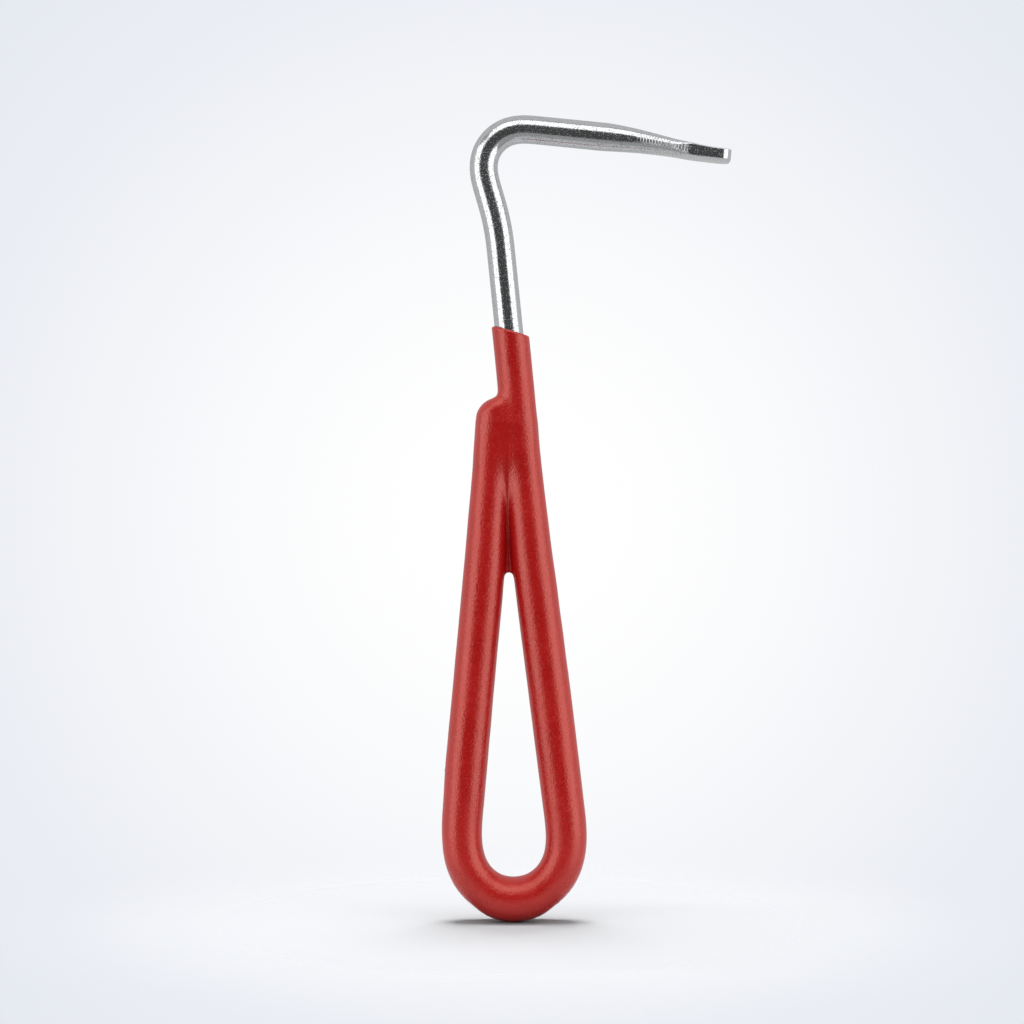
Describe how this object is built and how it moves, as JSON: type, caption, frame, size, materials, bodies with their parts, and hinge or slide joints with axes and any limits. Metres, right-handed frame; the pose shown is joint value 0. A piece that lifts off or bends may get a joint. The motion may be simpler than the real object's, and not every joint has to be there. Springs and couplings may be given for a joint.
{
  "type": "hoof pick",
  "caption": "Hoof pick bent from one plated steel rod, with a pressed blade and a looped handle dipped in red PVC.",
  "frame": {"origin": "under the middle of the bounding box, at the lowest point of the dipped loop", "axes": "+Z from the loop up to the hook, +X the way the hook points, +Y through the loop, across the blade"},
  "size_m": [0.0629, 0.0096, 0.1745],
  "materials": {
    "plated_steel": "bright nickel plate over drawn rod, finely speckled, with press marks on the blade's taper",
    "weld_metal": "plated over as welded",
    "red_pvc": "satin dipped plastisol, finely mottled"
  },
  "bodies": {
    "root": {"steel_rod": "plated_steel", "weld_bead_front": "weld_metal", "weld_bead_back": "weld_metal", "dipped_grip": "red_pvc"}
  },
  "joints": []
}
